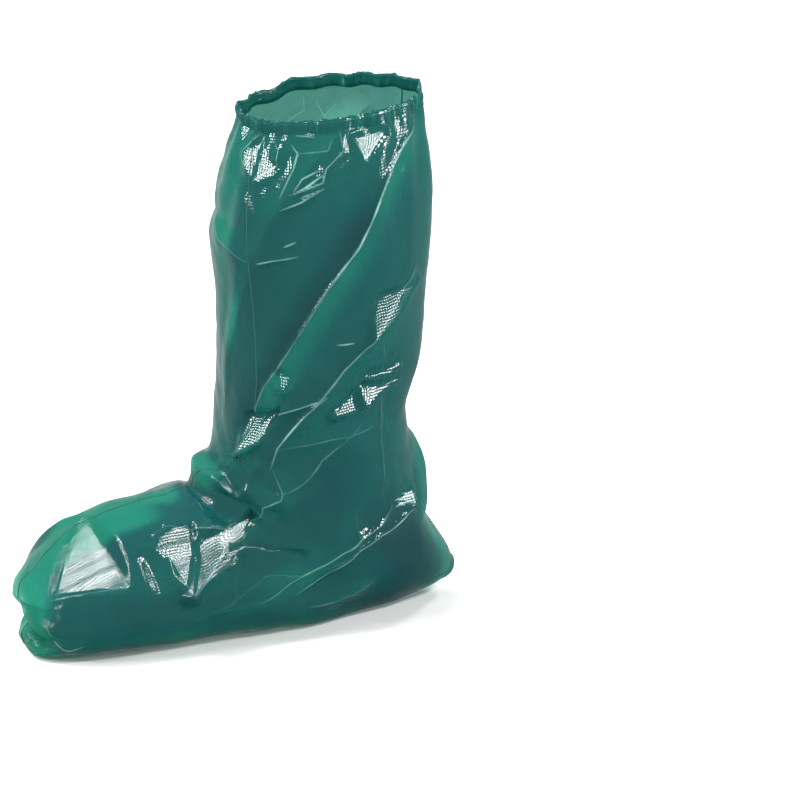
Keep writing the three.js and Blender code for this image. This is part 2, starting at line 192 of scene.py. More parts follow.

# %% [markdown]
# ## Creases
# Thin film also takes sharp small creases, which catch the light as fine pale lines. They have the same
# columns as the folds, with heights of up to three millimetres. The column "line" says how strongly the
# line shows. A bump in the finish could draw them too, but raised film is part of the mesh itself. A
# few are copied to the far side.

# %% Table of creases
# Each crease's pale line is painted into the film's colour: partly whitened creased film, partly a painted
# glint
CREASES = [
    ("calf_pleat_shine", "ridge", 0, 0.4, 5, 1.0, 0, [
        (0.3, 134), (0.57, 123), (1.18, 108), (2.06, 93), (2.9, 72)]),
    ("ankle_pleat_shine", "ridge", 0, 0.8, 5, 0.7, 0, [(3.9, 86), (4.63, 68), (5.25, 55), (5.7, 51)]),
    ("ankle_crease", "ridge", 0, 2.6, 7, 0.7, 0, [(4.56, 51), (4.38, 67), (4.20, 81)]),
    ("low_ankle_crease", "ridge", 0, 1.6, 7, 0.25, 0, [(4.79, 104), (5.51, 81), (6.67, 62)]),
    ("level_ankle_crease", "ridge", 0, 1.2, 6, 0.15, 0, [(5.30, 54), (5.07, 86), (4.94, 116)]),
    ("front_wrinkle", "ridge", 0, 1.3, 4, 0.6, 0, [(2.29, 39), (2.21, 50), (2.14, 65)]),
    ("short_wrinkle", "ridge", 0, 1.0, 4, 0.5, 0, [(2.01, 56), (1.93, 63)]),
    ("glint_wrinkle", "ridge", 0, 1.3, 4, 0.6, 0, [(3.40, 85), (3.40, 94)]),
    ("packing_crease", "ridge", 0, 0.6, 3, 0.14, 0, [(3.42, 110), (4.89, 119), (6.61, 117)]),
    ("front_facet", "ridge", 0, 2.5, 14, 0.3, 0.12, [(1.57, -20), (2.10, 7), (2.16, 21), (2.30, 33)]),
    ("strip_crease", "ridge", 0, 1.5, 9, 0.12, 0.10, [(2.2, 26), (3.0, 16), (3.9, 8), (4.9, 6)]),
    ("sole_crease", "ridge", 0, 2.0, 9, 0.1, 0, [(11.63, 108), (9.60, 89), (6.72, 103)]),
    ("heel_crease", "ridge", 0, 2.2, 4.5, 0.6, 0, [
        (6.74, 127), (7.14, 117), (7.60, 99), (8.12, 90), (8.56, 91), (8.98, 93), (9.33, 95),
        (10.25, 103)]),
    ("low_heel_crease", "ridge", 0, 2.0, 4.5, 0.6, 0, [
        (6.86, 143), (6.92, 140), (7.06, 133), (7.46, 110), (7.90, 97), (8.52, 97),
        (8.92, 101), (9.43, 104)]),
    ("heel_crinkle_a", "ridge", 0, 1.8, 4, 0.8, 0, [(6.74, 126), (6.56, 148)]),
    ("heel_crinkle_b", "ridge", 0, 1.6, 4, 0.7, 0, [(6.82, 129), (6.66, 149)]),
    ("heel_crinkle_c", "ridge", 0, 1.4, 3, 0.7, 0, [(6.62, 131), (6.78, 144)]),
    ("heel_crinkle_d", "ridge", 0, 1.2, 3, 0.6, 0, [(6.52, 135), (6.66, 149)]),
    ("toe_flap", "ridge", 0, 2.4, 7, 0.7, 0, [
        (16.99, 92), (16.41, 97), (15.43, 108), (14.75, 119), (14.29, 113)]),
    ("toe_flap_top", "ridge", 0, 1.6, 6, 0.4, 0, [(16.49, 75), (15.49, 98)]),
    ("toe_slit", "valley", 0, 1.6, 4, 0.0, 0, [(14.60, 33), (13.85, 38)]),
    ("gather_a", "ridge", 0, 2.4, 6, 0.6, 0, [(0.05, 27), (0.59, 12), (0.98, 21)]),
    ("gather_b", "ridge", 0, 2.2, 6, 0.5, 0, [(0.08, 30), (0.85, 19)]),
    ("gather_c", "ridge", 0, 2.6, 7, 0.7, 0, [(0.26, 40), (0.41, 44), (0.75, 44), (1.08, 28)]),
    ("gather_d", "ridge", 0, 2.6, 7, 0.7, 0, [(0.23, 51), (0.46, 57), (0.80, 56), (1.31, 50)]),
    ("gather_e", "ridge", 0, 2.2, 6, 0.8, 0, [(1.49, 51), (1.36, 63), (1.16, 75)]),
    ("gather_f", "ridge", 0, 1.8, 6, 0.4, 0, [(0.46, 57), (0.44, 75), (0.21, 77)]),
    ("gather_g", "ridge", 0, 2.8, 7, 0.6, 0, [(0.02, 81), (0.49, 84), (0.82, 75), (1.06, 74), (1.26, 56)]),
    ("gather_h", "ridge", 0, 2.4, 7, 0.7, 0, [(0.26, 89), (0.72, 96), (0.26, 108)]),
    ("gather_i", "ridge", 0, 1.2, 4, 0.6, 0, [(0.05, 53), (0.10, 66)]),
    ("gather_j", "ridge", 0, 1.6, 5, 0.4, 0, [(0.03, 134), (0.33, 134)]),
    ("gather_k", "ridge", 0, 1.6, 4, 1.0, 0, [(1.26, 56), (1.12, 65), (0.92, 74)]),
    ("gather_l", "ridge", 0, 1.4, 4, 0.8, 0, [(1.20, 58), (0.98, 62), (0.84, 71)]),
    ("gather_m", "ridge", 0, 1.4, 4, 0.9, 0, [(1.28, 63), (1.16, 75)]),
]
MIRRORED = ("gather_c", "gather_d", "gather_e", "gather_g", "gather_h", "front_wrinkle", "ankle_crease",
            "heel_crinkle_a", "heel_crinkle_c", "toe_flap")
MIRROR_PLACE, MIRROR_ANGLE = 0.12, 352


def mirrored(row):
    """The same crease on the far side, a little lower."""
    path = [(place + MIRROR_PLACE, MIRROR_ANGLE - angle) for place, angle in row[-1]]
    return ("far_" + row[0],) + row[1:-1] + (path,)


def named_rows(columns, rows):
    """Rows of a table as dictionaries, by the names of their columns."""
    return [dict(zip(columns, row)) for row in rows]


FAR_CREASES = [mirrored(row) for row in CREASES if row[0] in MIRRORED]
folds = named_rows(FOLD_COLUMNS, FOLDS + CREASES + FAR_CREASES)
print("creases on the near side:", len(CREASES), "on the far side:", len(FAR_CREASES))

# %% [markdown]
# ## Raising a fold
# Every point of the film looks up its distance to the fold's line and is pushed out along its normal,
# most on the line and less beside it. The signed distance is kept as well, because the finish draws the
# fine pale line from it, sharper than the mesh could. Lines that run close together are kept in two
# sets, so that one never hides the other.

# %% Distance to a line
LINE_STEPS = 24


def path_points(path):
    """Points on the form along a path of places and angles."""
    knots = np.array(path, float)
    spot = np.linspace(0, len(knots) - 1, LINE_STEPS + 1)
    place = np.interp(spot, np.arange(len(knots)), knots[:, 0])
    return form_point(place, np.interp(spot, np.arange(len(knots)), knots[:, 1]))


def nearest_on_line(line, points, normals):
    """Distance of points to a line, how far along it they lie, and the side that they lie on."""
    best = np.full(len(points), np.inf)
    part = np.zeros(len(points))
    side = np.zeros(len(points))
    for index in range(LINE_STEPS):
        start, step = line[index], line[index + 1] - line[index]
        spot = np.clip((points - start) @ step / max(step @ step, TINY), 0, 1)
        offset = points - (start + spot[:, None] * step)
        distance = np.linalg.norm(offset, axis=1)
        closer = distance < best
        best[closer] = distance[closer]
        part[closer] = (index + spot[closer]) / LINE_STEPS
        leftward = np.cross(normals[closer], step)
        side[closer] = np.sign(np.einsum("ij,ij->i", offset[closer], leftward))
    return best, part, np.where(side < 0, -1.0, 1.0)


def close_to(line, points, reach):
    """Which points lie within reach of the box round a line."""
    return np.flatnonzero(np.all((points > line.min(0) - reach) & (points < line.max(0) + reach), axis=1))


fold_lines = [path_points(fold["path"]) for fold in folds]
fold_lengths = [np.linalg.norm(np.diff(line, axis=0), axis=1).sum() for line in fold_lines]
print("longest fold in mm:", round(max(fold_lengths)))

# %% Height of a fold
CREST_RADIUS = 0.5
PLEAT_STEEP_SHARE = 0.13  # width of a pleat's steep side, as a share of its own width
PLEAT_GENTLE_SHARE = 1.8
FOLD_FALL = 1.3  # how fast a fold falls off beside its line
FOLD_END_FALL = 0.6
LINE_REACH = (1.3, 2.6)  # a pale line fades out between these distances
LINE_SETS = ("a", "b")
FAR = 99.0  # distance where no line is near
BAND_WIDTH = (6.0, 24.0)  # the painted back-light band beside a pleat fades out between these distances
BAND_SHADE = 0.5  # the steep side of a pleat gets a painted shadow, darker by this share of its pale band


def add_fold(fold, line_set, points, normals, height, marks):
    """Adds a fold's height to the points near its line; marks its painted line and band of painted light
    and shadow.
    """
    line = path_points(fold["path"])
    reach = max(fold["width"] * (PLEAT_GENTLE_SHARE if fold["kind"] == "pleat" else 1.0), BAND_WIDTH[1])
    near = close_to(line, points, reach)
    if not len(near):
        return
    best, part, side = nearest_on_line(line, points[near], normals[near])
    width = np.full(len(near), float(fold["width"]))
    if fold["kind"] == "pleat":
        width *= np.where(side < 0, PLEAT_STEEP_SHARE, PLEAT_GENTLE_SHARE)
    rounded = np.sqrt(best ** 2 + CREST_RADIUS ** 2) - CREST_RADIUS
    fade = np.clip(1 - rounded / width, 0, None) ** FOLD_FALL
    ends = np.clip(np.sin((0.5 if fold["open"] else 1.0) * np.pi * part), 0, None) ** FOLD_END_FALL
    height[near] += (-1 if fold["kind"] == "valley" else 1) * fold["height"] * fade * ends
    # painted back-light on the gentle side of a pleat, painted shadow on its steep side
    marks["band"][near] += (fold["band"] * np.where(side < 0, -BAND_SHADE, 1.0)
                            * (1 - smooth_step(best, *BAND_WIDTH)) * ends)
    # painted pale line along the crease: whitened film and painted glint
    if fold["line"] > 0:
        closest = best < np.abs(marks["way_" + line_set][near])
        strength = fold["line"] * (1 - smooth_step(best, *LINE_REACH)) * ends
        marks["way_" + line_set][near[closest]] = (best * side)[closest]
        marks["line_" + line_set][near[closest]] = strength[closest]


print("folds to raise:", len(folds), "in sets of lines:", len(LINE_SETS))

# %% [markdown]
# ## Flat facets
# Between its folds the film is pulled flat, and a flat facet that faces a lamp shines all over at once,
# while one that is turned away stays deep. Each facet is a triangle of three places with a lift at each
# corner; the film inside it is moved almost on to its plane, and outside it eases back over a narrow
# skirt. Cutting the mesh along the edges would make them harder than film is.

# %% Table of facets
FACET_COLUMNS = ("name", "pull", "a", "b", "c")
FACETS = [
    ("ankle_shine_upper", 0.92, (2.74, 136, 2.0), (3.40, 104, 5.7), (2.84, 107, -3.0)),
    ("ankle_shine_mid", 0.92, (3.92, 101, -1.2), (3.88, 124, 1.8), (4.12, 111, 2.2)),
    ("ankle_shine_low", 0.92, (4.54, 86, 6.6), (4.12, 100, -5.8), (4.46, 103, -0.2)),
    ("ankle_shine_back", 0.92, (4.12, 100, -1.8), (4.14, 126, 1.1), (4.46, 103, 4.2)),
    ("shin_shine_upper", 0.90, (4.64, 32, -5.6), (4.58, 50, -5.5), (5.52, 28, 9.2)),
    ("shin_shine_low", 0.90, (4.58, 50, -5.5), (5.18, 42, 3.4), (5.52, 28, 9.2)),
    ("pleat_shine", 0.90, (3.80, 53, -2.9), (3.86, 60, 1.7), (4.06, 57, 5.0)),
    ("foot_side_flat", 0.90, (9.6, 64, 4.0), (8.6, 83, -3.0), (10.6, 101, -0.5)),
    ("instep_turned", 0.85, (6.24, 14, 3.2), (5.78, 42, 3.7), (7.28, 37, -3.7)),
    ("foot_turned", 0.80, (12.70, 47, 0.8), (12.15, 50, 0.8), (12.35, 80, -0.4)),
    ("vee_front", 0.90, (12.23, 40, 1.6), (10.85, 41, -1.8), (11.51, 90, 10.2)),
    ("vee_back", 0.90, (10.55, 53, -2.5), (8.4, 51, -7.2), (11.5, 86, 11.2)),
    ("toe_shine", 0.84, (13.65, -5, 3.1), (13.19, 69, -1.9), (15.31, 49, -4.6)),
    ("heel_top_shine", 0.92, (6.74, 129, -5.4), (6.52, 143, 0.0), (6.84, 143, 5.4)),
    ("gather_shine_a", 0.92, (0.56, 16, 2.6), (0.24, 27, -1.7), (1.00, 25, 0.9)),
    ("gather_shine_c", 0.92, (0.26, 90, 3.0), (0.26, 108, -1.3), (0.74, 96, 0.7)),
    ("gather_shine_d", 0.92, (1.06, 32, 1.1), (0.76, 44, -0.1), (0.64, 32, -0.6)),
]
facets = named_rows(FACET_COLUMNS, FACETS)
print("facets:", len(facets))

# %% Flattening a facet
FACET_SKIRT = 6.5
FACET_RAGGED = 1.2  # how far the crumple shifts a facet's edge


def flatten_facet(facet, place, angle, points, ragged):
    """Moves the points inside a facet on to its plane; outside they ease back over the skirt."""
    corners = np.array([facet["a"], facet["b"], facet["c"]], float)
    spots = form_point(corners[:, 0], corners[:, 1])
    spots = spots + normal_of(form_point, corners[:, 0], corners[:, 1]) * corners[:, 2:]
    edge_ab, edge_ac = corners[1, :2] - corners[0, :2], corners[2, :2] - corners[0, :2]
    across = edge_ab[0] * edge_ac[1] - edge_ab[1] * edge_ac[0]
    middle = corners[:, 1].mean()
    near_angle = np.mod(angle - middle + 180, 360) - 180 + middle
    away = np.stack([place - corners[0, 0], near_angle - corners[0, 1]], -1)
    share_b = (away[:, 0] * edge_ac[1] - away[:, 1] * edge_ac[0]) / across
    share_c = (edge_ab[0] * away[:, 1] - edge_ab[1] * away[:, 0]) / across
    shares = np.stack([1 - share_b - share_c, share_b, share_c], -1)
    double_area = np.linalg.norm(np.cross(spots[1] - spots[0], spots[2] - spots[0]))
    opposite = np.linalg.norm(spots[[2, 0, 1]] - spots[[1, 2, 0]], axis=1)
    heights = double_area / opposite
    inside = np.min(shares * heights, axis=1) + FACET_RAGGED * ragged
    beyond = np.max((shares - 1) * heights, axis=1)
    weight = smooth_step(inside, -FACET_SKIRT, 0.0) * (1 - smooth_step(beyond, 0.0, FACET_SKIRT))
    return points + facet["pull"] * weight[:, None] * (shares @ spots - points)


print("skirt of a facet in mm:", FACET_SKIRT)

# %% [markdown]
# ## Gathers under the hem, and the tuck of the sole
# The elastic draws the top edge in, so the film below it stands in small upright waves that die out
# down the calf. The waves are a cosine round the opening, with a second one that shifts them so that no
# two are alike. A simulated elastic would gather the film too, but not the same way in each run. Under
# the foot the film is drawn up a little beside its weld.

# %% Gathers and tuck
GATHER_COUNT = 14
GATHER_DEPTH = 1.8
GATHER_REACH = 1.2
GATHER_SWAY = 1.1
GATHER_SWAYS = 3
SOLE_TUCK = 2.4
TUCK_ANGLE = 7
TUCK_START, TUCK_FULL = -0.3, 0.1  # places past the heel


def gather_height(place, angle):
    """Waves of the film under the hem."""
    turn = np.radians(angle)
    wave = np.cos(GATHER_COUNT * turn + GATHER_SWAY * np.sin(GATHER_SWAYS * turn))
    return GATHER_DEPTH * np.exp(-place / GATHER_REACH) * wave


def tuck_height(place, angle):
    """The sole is drawn up a little beside its weld."""
    on_sole = smooth_step(place, PLACE["heel"] + TUCK_START, PLACE["heel"] + TUCK_FULL)
    on_sole = on_sole * (1 - smooth_step(place, PLACE["toe_c"], PLACE["toe_d"]))
    beside = np.clip(1 - np.abs(np.mod(angle, 360) - 180) / TUCK_ANGLE, 0, None)
    return -SOLE_TUCK * on_sole * beside


print("gathers round the opening:", GATHER_COUNT, "depth in mm:", GATHER_DEPTH)

# %% [markdown]
# ## Crumple
# Film that was packed flat stays crumpled: flat patches that meet in sharp shallow lines. A noise
# texture would give soft hills instead. A few folded waves, each a triangle wave in its own seeded
# direction, give flat patches with sharp lines. They are strongest under the hem and round the ankle.

# %% Crumpled film
CRUMPLE_SEED = 11
CRUMPLE_LENGTHS = (92, 68, 51, 38, 29, 21)
CRUMPLE_SLOPE = 0.035
CRUMPLE_SWAY = 0.9
CRUMPLE_SWAY_LENGTH = 2.3
CRUMPLE_AT = [  # place along the cover, and how strong the crumple is there
    (0.0, 1.7), (1.2, 1.4), (2.2, 0.6), (3.2, 0.6), (4.4, 1.2), (7.0, 1.2), (9.0, 0.7), (13.0, 0.5),
    (16.0, 0.9), (18.0, 0.6),
]


def crumple_height(place, points):
    """Seeded folded waves across the film: flat between sharp lines, as crumpled film is."""
    draw = np.random.default_rng(CRUMPLE_SEED)
    height = np.zeros(len(points))
    for length in CRUMPLE_LENGTHS:
        way = draw.normal(size=3)
        way /= np.linalg.norm(way)
        side = np.roll(way, 1)
        start, drift = draw.uniform(0, 2 * np.pi, 2)
        wander = CRUMPLE_SWAY * np.sin(points @ side * 2 * np.pi / (CRUMPLE_SWAY_LENGTH * length) + drift)
        folded = np.arcsin(np.sin(points @ way * 2 * np.pi / length + start + wander)) * 2 / np.pi
        height += 0.25 * CRUMPLE_SLOPE * length * folded
    levels = np.array(CRUMPLE_AT)
    return height * np.interp(place, levels[:, 0], levels[:, 1])


heel_crumple = crumple_height(np.array([PLACE["heel"]]), heel_back[None])
print("crumple at the back of the heel in mm:", heel_crumple.round(2))

# %% The folded film


def film_point(place, angle):
    """Points of the folded film, and the painted lines and bands of painted light and shadow of its folds.
    """
    place, angle = np.broadcast_arrays(np.asarray(place, float), np.asarray(angle, float))
    shape = place.shape
    place, angle = place.reshape(-1), angle.reshape(-1)
    points = form_point(place, angle)
    normals = normal_of(form_point, place, angle)
    height = gather_height(place, angle) + tuck_height(place, angle)
    marks = {"band": np.zeros(len(points))}
    for line_set in LINE_SETS:
        marks["line_" + line_set] = np.zeros(len(points))
        marks["way_" + line_set] = np.full(len(points), FAR)
    for index, fold in enumerate(folds):
        add_fold(fold, LINE_SETS[index % len(LINE_SETS)], points, normals, height, marks)
    crumple = crumple_height(place, points)
    points = points + normals * (height + crumple)[:, None]
    for facet in facets:
        points = flatten_facet(facet, place, angle, points, crumple)
    points[:, 2] = np.maximum(points[:, 2], 0)
    return points.reshape(*shape, 3), {name: value.reshape(shape) for name, value in marks.items()}


RING_STEP = 10.0
ring_angles = np.arange(0, 360, RING_STEP)
ring, _ = film_point(np.full(len(ring_angles), PLACE["mid"]), ring_angles)
print("size of the film at mid calf in mm:", np.ptp(ring, axis=0).round(1))

# %% [markdown]
# ## Painted back-light and painted shade
# Where the film hangs free at the edges of the form, light from behind would show through it; this is
# painted into its colour as pale green, a painted back-light. In the middle of the form the colour is
# painted deep, a painted shade. Painting this by hand would work; a few zones with soft borders, and a
# few streaks along lines, are easier to move. The value goes to the mesh as an attribute that the
# finish reads. Both sides of the cover are alike.

# %% Zones and streaks of painted back-light and painted shade
ZONE_COLUMNS = ("name", "from_place", "to_place", "soft_place", "from_angle", "to_angle", "soft_angle",
                "level")
# Zones of painted back-light: inside its soft borders each zone raises the painted light to its level
ZONES = [
    ("under_hem", -1.0, 1.8, 0.8, -90, 270, 10, 0.38),
    ("shaft_front", -1.0, 3.7, 0.5, -90, 22, 7, 0.59),
    ("shin_front", 3.2, 6.4, 0.5, -90, 5, 9, 0.50),
    ("shin_low", 4.9, 6.3, 0.3, -90, 40, 8, 0.42),
    ("shaft_back", -1.0, 8.4, 0.3, 162, 270, 8, 0.36),
    ("instep_tab", 6.2, 8.6, 0.5, -90, 23, 13, 0.9),
    ("foot_ridge", 10.4, 14.0, 0.5, -90, 13, 11, 0.95),
    ("foot_top", 11.9, 19.0, 0.9, -90, 30, 9, 0.95),
    ("toe", 16.3, 19.0, 0.8, -90, 270, 10, 0.95),
    ("back_flare", 5.4, 7.2, 0.4, 153, 270, 6, 0.50),
    ("heel", 6.7, 8.9, 0.3, 150, 270, 5, 0.55),
]
STREAK_COLUMNS = ("name", "level", "width", "path")
# Streaks of painted back-light along lines; a streak whose level is below zero is a painted shade
STREAKS = [
    ("toe_rim", 0.60, 30, [
        (14.4, 0), (15.6, 10), (16.6, 40), (17.2, 80), (17.0, 110), (15.6, 122), (14.2, 130)]),
    ("sole_rim", 0.40, 24, [(14.5, 130), (12.6, 126), (10.7, 138), (9.3, 150), (8.5, 160)]),
    ("heel_strip", 0.26, 8, [(8.1, 93), (8.5, 94), (9.17, 99), (10.39, 105), (11.05, 108)]),
    ("low_heel_strip", 0.26, 7, [(9.2, 118), (8.8, 119), (8.4, 117)]),
    ("foot_side_streak", 0.16, 13, [(11.6, 110), (10.1, 98), (8.4, 87), (6.7, 103)]),
    ("back_streak", 0.10, 14, [(0.8, 150), (2.0, 150), (3.2, 158), (4.5, 156)]),
    ("heel_shade", -0.20, 36, [(6.8, 106), (7.2, 120), (7.7, 128), (8.3, 134), (9.1, 140)]),
    ("ankle_shade", -0.10, 30, [(6.4, 74), (7.3, 92)]),
    ("ankle_light", 0.12, 30, [(4.6, 80), (5.4, 96)]),
]
print("zones of free film:", len(ZONES), "streaks:", len(STREAKS))

# %% Painted light and shade at a place
# Painted light where no zone or streak reaches: a painted shade between the deep and the mid colour
PAINTED_LIGHT_BASE = 0.23
STREAK_CORE = 0.25  # share of a streak's width that has its full level


def zone_weight(zone, place, angle):
    """Share of a zone at each place, with soft borders."""
    weight = np.ones_like(place)
    for value, axis in ((place, "place"), (angle, "angle")):
        soft, low, high = zone["soft_" + axis], zone["from_" + axis], zone["to_" + axis]
        weight = weight * smooth_step(value, low - soft, low + soft)
        weight = weight * (1 - smooth_step(value, high - soft, high + soft))
    return weight


def free_film(place, angle):
    """Level of painted light at each place, from 0 to 1: painted shade low, painted back-light high."""
    shape = place.shape
    place = place.reshape(-1)
    folded = np.abs(np.mod(angle.reshape(-1) + 180, 360) - 180)
    free = np.full(len(place), PAINTED_LIGHT_BASE)
    for zone in named_rows(ZONE_COLUMNS, ZONES):
        free = np.maximum(free, zone["level"] * zone_weight(zone, place, folded))
    points = form_point(place, folded)
    normals = normal_of(form_point, place, folded)
    for streak in named_rows(STREAK_COLUMNS, STREAKS):
        line = path_points(streak["path"])
        near = close_to(line, points, streak["width"])
        best, part, _ = nearest_on_line(line, points[near], normals[near])
        ends = np.clip(np.sin(np.pi * part), 0, None) ** FOLD_END_FALL
        free[near] += streak["level"] * (1 - smooth_step(best / streak["width"], STREAK_CORE, 1.0)) * ends
    return free.reshape(shape)


toe_free = free_film(np.array([PLACE["toe_b"]], float), np.zeros(1))
print("how freely the film hangs on the toe:", toe_free.round(2))

# %% [markdown]
# ## From grids of points to meshes
# Every piece here is a grid of points: rows along it and columns round it. One helper turns a grid into
# a mesh object, a second lists its faces, and two more store values on its points: numbers for the
# finish to read, and a UV map that lays the sheet out flat, in metres, as it was cut.

# %% Mesh helpers


def mesh_object(name, vertices, faces, material):
    """New smooth object from points in millimetres above the floor, riding on the model's one body."""
    mesh = bpy.data.meshes.new(name)
    placed = (np.asarray(vertices, float).reshape(-1, 3) - ORIGIN) * MM
    mesh.from_pydata(placed.tolist(), [], faces)
    mesh.polygons.foreach_set("use_smooth", [True] * len(mesh.polygons))
    mesh.materials.append(material)
    mesh.update()
    piece = bpy.data.objects.new(name, mesh)
    bpy.context.scene.collection.objects.link(piece)
    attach(piece, "root")
    return piece


def grid_faces(rows, columns, closed=False):
    """Quads of a grid of points, walked row by row; closed joins the last column to the first."""
    row = np.arange(rows - 1)[:, None] * columns
    column = np.arange(columns if closed else columns - 1)[None]
    following = (column + 1) % columns
    corners = [row + column, row + columns + column, row + columns + following, row + following]
    return np.stack(corners, -1).reshape(-1, 4).tolist()


def set_values(piece, name, values):
    """Stores one number for each point of a piece, for its finish to read."""
    layer = piece.data.attributes.new(name, "FLOAT", "POINT")
    layer.data.foreach_set("value", np.asarray(values, float).reshape(-1))


def set_cut(piece, points):
    """Lays a grid of points out flat, in metres along its rows and columns, as the UV map of the cut."""
    across = np.zeros(points.shape[:2])
    along_rows = np.zeros(points.shape[:2])
    across[:, 1:] = np.cumsum(np.linalg.norm(np.diff(points, axis=1), axis=2), axis=1)
    along_rows[1:] = np.cumsum(np.linalg.norm(np.diff(points, axis=0), axis=2), axis=0)
    flat = np.stack([across, along_rows], -1).reshape(-1, 2) * MM
    layer = piece.data.uv_layers.new(name="cut")
    loops = np.empty(len(piece.data.loops), int)
    piece.data.loops.foreach_get("vertex_index", loops)
    layer.data.foreach_set("uv", flat[loops].reshape(-1))


def area_of(piece):
    """Surface of a piece in square metres."""
    return sum(face.area for face in piece.data.polygons)


print("faces of a grid of 3 by 4 points:", len(grid_faces(3, 4)))

# %% [markdown]
# ## Arithmetic for finishes
# A finish is a small network of nodes. Linked by hand it is slow to read, so one class wraps a node's
# output and lets Python's own signs add the Math nodes. Colours are mixed with a Mix node, and every
# other node comes from the method called node.

# %% Shader arithmetic


class Wire:
    """A node socket that takes part in Python arithmetic: each operation adds a Math node."""

    def __init__(self, tree, socket=None):
        self.tree = tree
        self.socket = socket

    def node(self, kind, settings, inputs, output=0):
        """New node: its settings are set first, then its sockets by name or number."""
        made = self.tree.nodes.new(kind)
        for name, value in settings.items():
            setattr(made, name, value)
        for name, value in inputs.items():
            if isinstance(value, Wire):
                self.tree.links.new(value.socket, made.inputs[name])
            else:
                made.inputs[name].default_value = value
        return Wire(self.tree, made.outputs[output] if made.outputs else None)

    def maths(self, operation, first, second):
        """New Math node on two values."""
        return self.node("ShaderNodeMath", {"operation": operation}, {0: first, 1: second})

    def __add__(self, other):
        return self.maths("ADD", self, other)

    def __radd__(self, other):
        return self.maths("ADD", other, self)

    def __sub__(self, other):
        return self.maths("SUBTRACT", self, other)

    def __rsub__(self, other):
        return self.maths("SUBTRACT", other, self)

    def __mul__(self, other):
        return self.maths("MULTIPLY", self, other)

    def __rmul__(self, other):
        return self.maths("MULTIPLY", other, self)

    def at_least(self, other):
        """The larger of this value and another."""
        return self.maths("MAXIMUM", self, other)

    def mix(self, low, high):
        """Colour between two colours, by this value; sockets 6 and 7 of the node take the colours."""
        settings = {"data_type": "RGBA", "clamp_factor": True}
        return self.node("ShaderNodeMix", settings, {0: self, 6: low, 7: high}, 2)


def new_material(name):
    """Empty node material, and a wire to build its nodes from."""
    material = bpy.data.materials.new(name)
    material.use_nodes = True
    material.node_tree.nodes.clear()
    return material, Wire(material.node_tree)


print("methods of a wire:", [name for name in vars(Wire) if not name.startswith("_")])

# %% [markdown]
# ## Film finish
# The film is clear green plastic, glossy, with a fine embossed diamond pattern that breaks up its
# highlights. A true refracting material would be slow and noisy for two thin layers. So the film is a
# mix: a part lets light straight through with a green tint, and the rest is a glossy plastic whose
# colour is painted from deep to pale: a painted shade in the middle of the form, a painted back-light
# where the film hangs free, and there the film is also clearer. The fine pale lines are painted from
# the distance to the nearest crease.

# %% Emboss and crease lines
EMBOSS_PITCH = 0.0031
EMBOSS_DEPTH = 0.000050
EMBOSS_TURN = math.radians(45)
LINE_HALF = 0.8  # half the width of a pale line, in mm
BROKEN_SCALE, BROKEN_DETAIL, BROKEN_GAIN, BROKEN_FLOOR = 55.0, 1.0, 1.9, -0.05


def emboss(wire):
    """Bump of the embossed diamonds, on the flat cut of the sheet."""
    cut = wire.node("ShaderNodeUVMap", {"uv_map": "cut"}, {})
    turned = wire.node("ShaderNodeVectorRotate", {"rotation_type": "Z_AXIS"},
                       {"Vector": cut, "Angle": EMBOSS_TURN})
    waves = wire.node("ShaderNodeVectorMath", {"operation": "SCALE"},
                      {0: turned, "Scale": 2 * math.pi / EMBOSS_PITCH})
    axes = wire.node("ShaderNodeVectorMath", {"operation": "SINE"}, {0: waves})
    across = wire.node("ShaderNodeSeparateXYZ", {}, {0: axes}, 0)
    down = wire.node("ShaderNodeSeparateXYZ", {}, {0: axes}, 1)
    return wire.node("ShaderNodeBump", {},
                     {"Strength": 1.0, "Distance": EMBOSS_DEPTH, "Height": across * down})


def crease_whitening_and_glint(wire, place):
    """Strength of painted crease lines (whitened film, glint): broken and uneven, by distance to the
    nearest line.
    """
    noise = {"Vector": place, "Scale": BROKEN_SCALE, "Detail": BROKEN_DETAIL}
    broken = wire.node("ShaderNodeTexNoise", {}, noise, "Fac") * BROKEN_GAIN + BROKEN_FLOOR
    lines = []
    for line_set in LINE_SETS:
        strength = wire.node("ShaderNodeAttribute", {"attribute_name": "line_" + line_set}, {}, "Fac")
        way = wire.node("ShaderNodeAttribute", {"attribute_name": "way_" + line_set}, {}, "Fac")
        lines.append(strength * (broken - way * way * (1 / LINE_HALF ** 2)).at_least(0.0))
    return lines[0].at_least(lines[1])


print("emboss pitch and depth in mm:", EMBOSS_PITCH / MM, EMBOSS_DEPTH / MM)

# %% Film material
# Film colours: deep for painted shade, mid, and pale for painted back-light
FILM_DEEP = (0.002, 0.031, 0.035, 1)
FILM_MID = (0.005, 0.083, 0.077, 1)
FILM_BACKLIT = (0.014, 0.240, 0.162, 1)
FILM_TINT = (0.20, 0.66, 0.53, 1)
# colour of the painted crease lines: whitened film and painted glint
CREASE_WHITE_AND_GLINT = (0.22, 0.40, 0.37, 1)
CLOUD_SCALE, CLOUD_DETAIL, CLOUD_MIDDLE, CLOUD_CHANGE = 16.0, 3.0, 0.45, 0.3
FILM_ROUGH, ROUGH_CHANGE = 0.06, 0.06
FILM_IOR, FILM_SPECULAR = 1.5, 0.5
FILM_OPACITY, FILM_SEE_THROUGH = 1.05, 0.6


